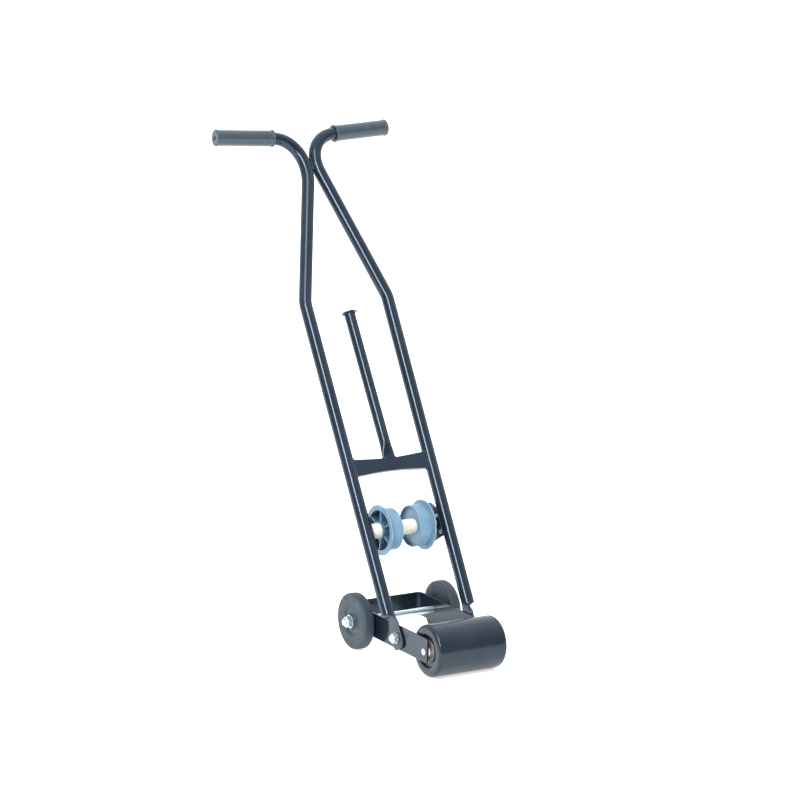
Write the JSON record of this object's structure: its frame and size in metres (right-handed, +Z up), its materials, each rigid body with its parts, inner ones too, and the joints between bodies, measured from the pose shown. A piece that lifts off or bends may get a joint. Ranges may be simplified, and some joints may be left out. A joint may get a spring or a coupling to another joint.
{
  "type": "floor marking tape applicator",
  "caption": "Walk-behind floor tape applicator: leaning tube handle with grips, two-part tape spool, spare-roll post, wheeled U-frame and a tamping roller.",
  "frame": {"origin": "on the floor, below the middle of the bounding box", "axes": "+X across the tool, to the right as seen from the roller end (left and right in the names are meant that way too), +Y from the roller towards the operator, +Z up"},
  "size_m": [0.362, 0.6513, 0.8868],
  "materials": {
    "black_paint": "gloss black powder coat",
    "wheel_rubber": "matt dark grey solid rubber",
    "wheel_centre": "matt dark grey hard rubber",
    "roller_rubber": "smooth dark rubber with a dull sheen",
    "grip_vinyl": "soft matt vinyl",
    "zinc_plate": "bright zinc plate",
    "core_steel": "plain steel with light oxide",
    "nylon": "natural nylon",
    "spool_blue": "satin moulded plastic",
    "sleeve_cream": "satin cream plastic tube"
  },
  "bodies": {
    "base": {"base_frame": "black_paint", "wheel_axle": "zinc_plate", "roller_axle": "zinc_plate", "axle_spacer_left": "zinc_plate", "axle_spacer_right": "zinc_plate", "axle_washer_left": "zinc_plate", "axle_washer_right": "zinc_plate", "axle_nut_left": "zinc_plate", "axle_nut_right": "zinc_plate", "roller_spacer_left": "nylon", "roller_spacer_right": "nylon", "pivot_bolt_left": "zinc_plate", "pivot_bolt_right": "zinc_plate", "pivot_washer_left": "zinc_plate", "pivot_washer_right": "zinc_plate", "pivot_nut_left": "zinc_plate", "pivot_nut_right": "zinc_plate"},
    "handle": {"handle_tube_left": "black_paint", "handle_tube_right": "black_paint", "grip_left": "grip_vinyl", "grip_right": "grip_vinyl", "handle_weld": "black_paint", "crossbar": "black_paint", "spare_roll_post": "black_paint", "post_cap": "grip_vinyl", "spool_bracket_left": "black_paint", "spool_bracket_right": "black_paint", "spool_rod": "zinc_plate", "rod_cap_left": "zinc_plate", "rod_cap_right": "zinc_plate", "bracket_screw_left_1": "zinc_plate", "bracket_screw_left_2": "zinc_plate", "bracket_screw_right_1": "zinc_plate", "bracket_screw_right_2": "zinc_plate"},
    "spool": {"spool_sleeve": "sleeve_cream"},
    "hub_left": {"tape_hub_left": "spool_blue"},
    "hub_right": {"tape_hub_right": "spool_blue"},
    "wheel_left": {"wheel_tyre_left": "wheel_rubber", "wheel_hub_left": "wheel_centre", "wheel_bushing_left": "core_steel"},
    "wheel_right": {"wheel_tyre_right": "wheel_rubber", "wheel_hub_right": "wheel_centre", "wheel_bushing_right": "core_steel"},
    "roller": {"roller_rubber": "roller_rubber", "roller_core": "core_steel", "roller_bushing_left": "nylon", "roller_bushing_right": "nylon"}
  },
  "joints": [
    {"name": "handle_pivot", "type": "hinge", "parent": "base", "child": "handle", "pos_m": [0, -0.19317, 0.0491], "axis": [1, 0, 0], "range_deg": [-1, 63]},
    {"name": "wheel_spin_left", "type": "hinge", "parent": "base", "child": "wheel_left", "pos_m": [0, -0.0742, 0.0508], "axis": [1, 0, 0], "continuous": true},
    {"name": "wheel_spin_right", "type": "hinge", "parent": "base", "child": "wheel_right", "pos_m": [0, -0.0742, 0.0508], "axis": [1, 0, 0], "continuous": true},
    {"name": "roller_spin", "type": "hinge", "parent": "base", "child": "roller", "pos_m": [0, -0.2791, 0.0465], "axis": [1, 0, 0], "continuous": true},
    {"name": "spool_spin", "type": "hinge", "parent": "handle", "child": "spool", "pos_m": [0, -0.07399, 0.21191], "axis": [1, 0, 0], "continuous": true},
    {"name": "hub_slide_left", "type": "slide", "parent": "spool", "child": "hub_left", "axis": [1, 0, 0], "range_m": [-0.018, 0.0175]},
    {"name": "hub_slide_right", "type": "slide", "parent": "spool", "child": "hub_right", "axis": [1, 0, 0], "range_m": [-0.0175, 0.018]}
  ]
}
